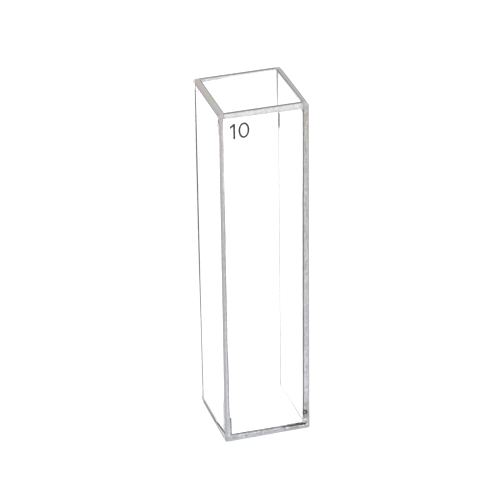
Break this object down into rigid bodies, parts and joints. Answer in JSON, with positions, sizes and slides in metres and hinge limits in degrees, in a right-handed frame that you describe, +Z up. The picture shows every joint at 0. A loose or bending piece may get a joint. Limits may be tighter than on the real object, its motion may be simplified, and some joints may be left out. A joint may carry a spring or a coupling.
{
  "type": "cuvette",
  "caption": "Tall square cell of clear glass plates, open at the top, that holds a liquid sample in a beam of light.",
  "frame": {"origin": "centre of the underside", "axes": "+X from the left wall to the right wall, +Y from the front window to the back window (the light path), +Z up to the open mouth"},
  "size_m": [0.0118, 0.0118, 0.048],
  "materials": {
    "window_glass": "clear optical glass, both faces polished, edges finely ground",
    "wall_glass": "clear glass, faces polished, ends and top ground grey",
    "base_glass": "clear glass, top and underside polished, edges ground grey"
  },
  "bodies": {
    "root": {"front_window": "window_glass", "back_window": "window_glass", "left_wall": "wall_glass", "right_wall": "wall_glass", "base_plate": "base_glass"}
  },
  "joints": []
}
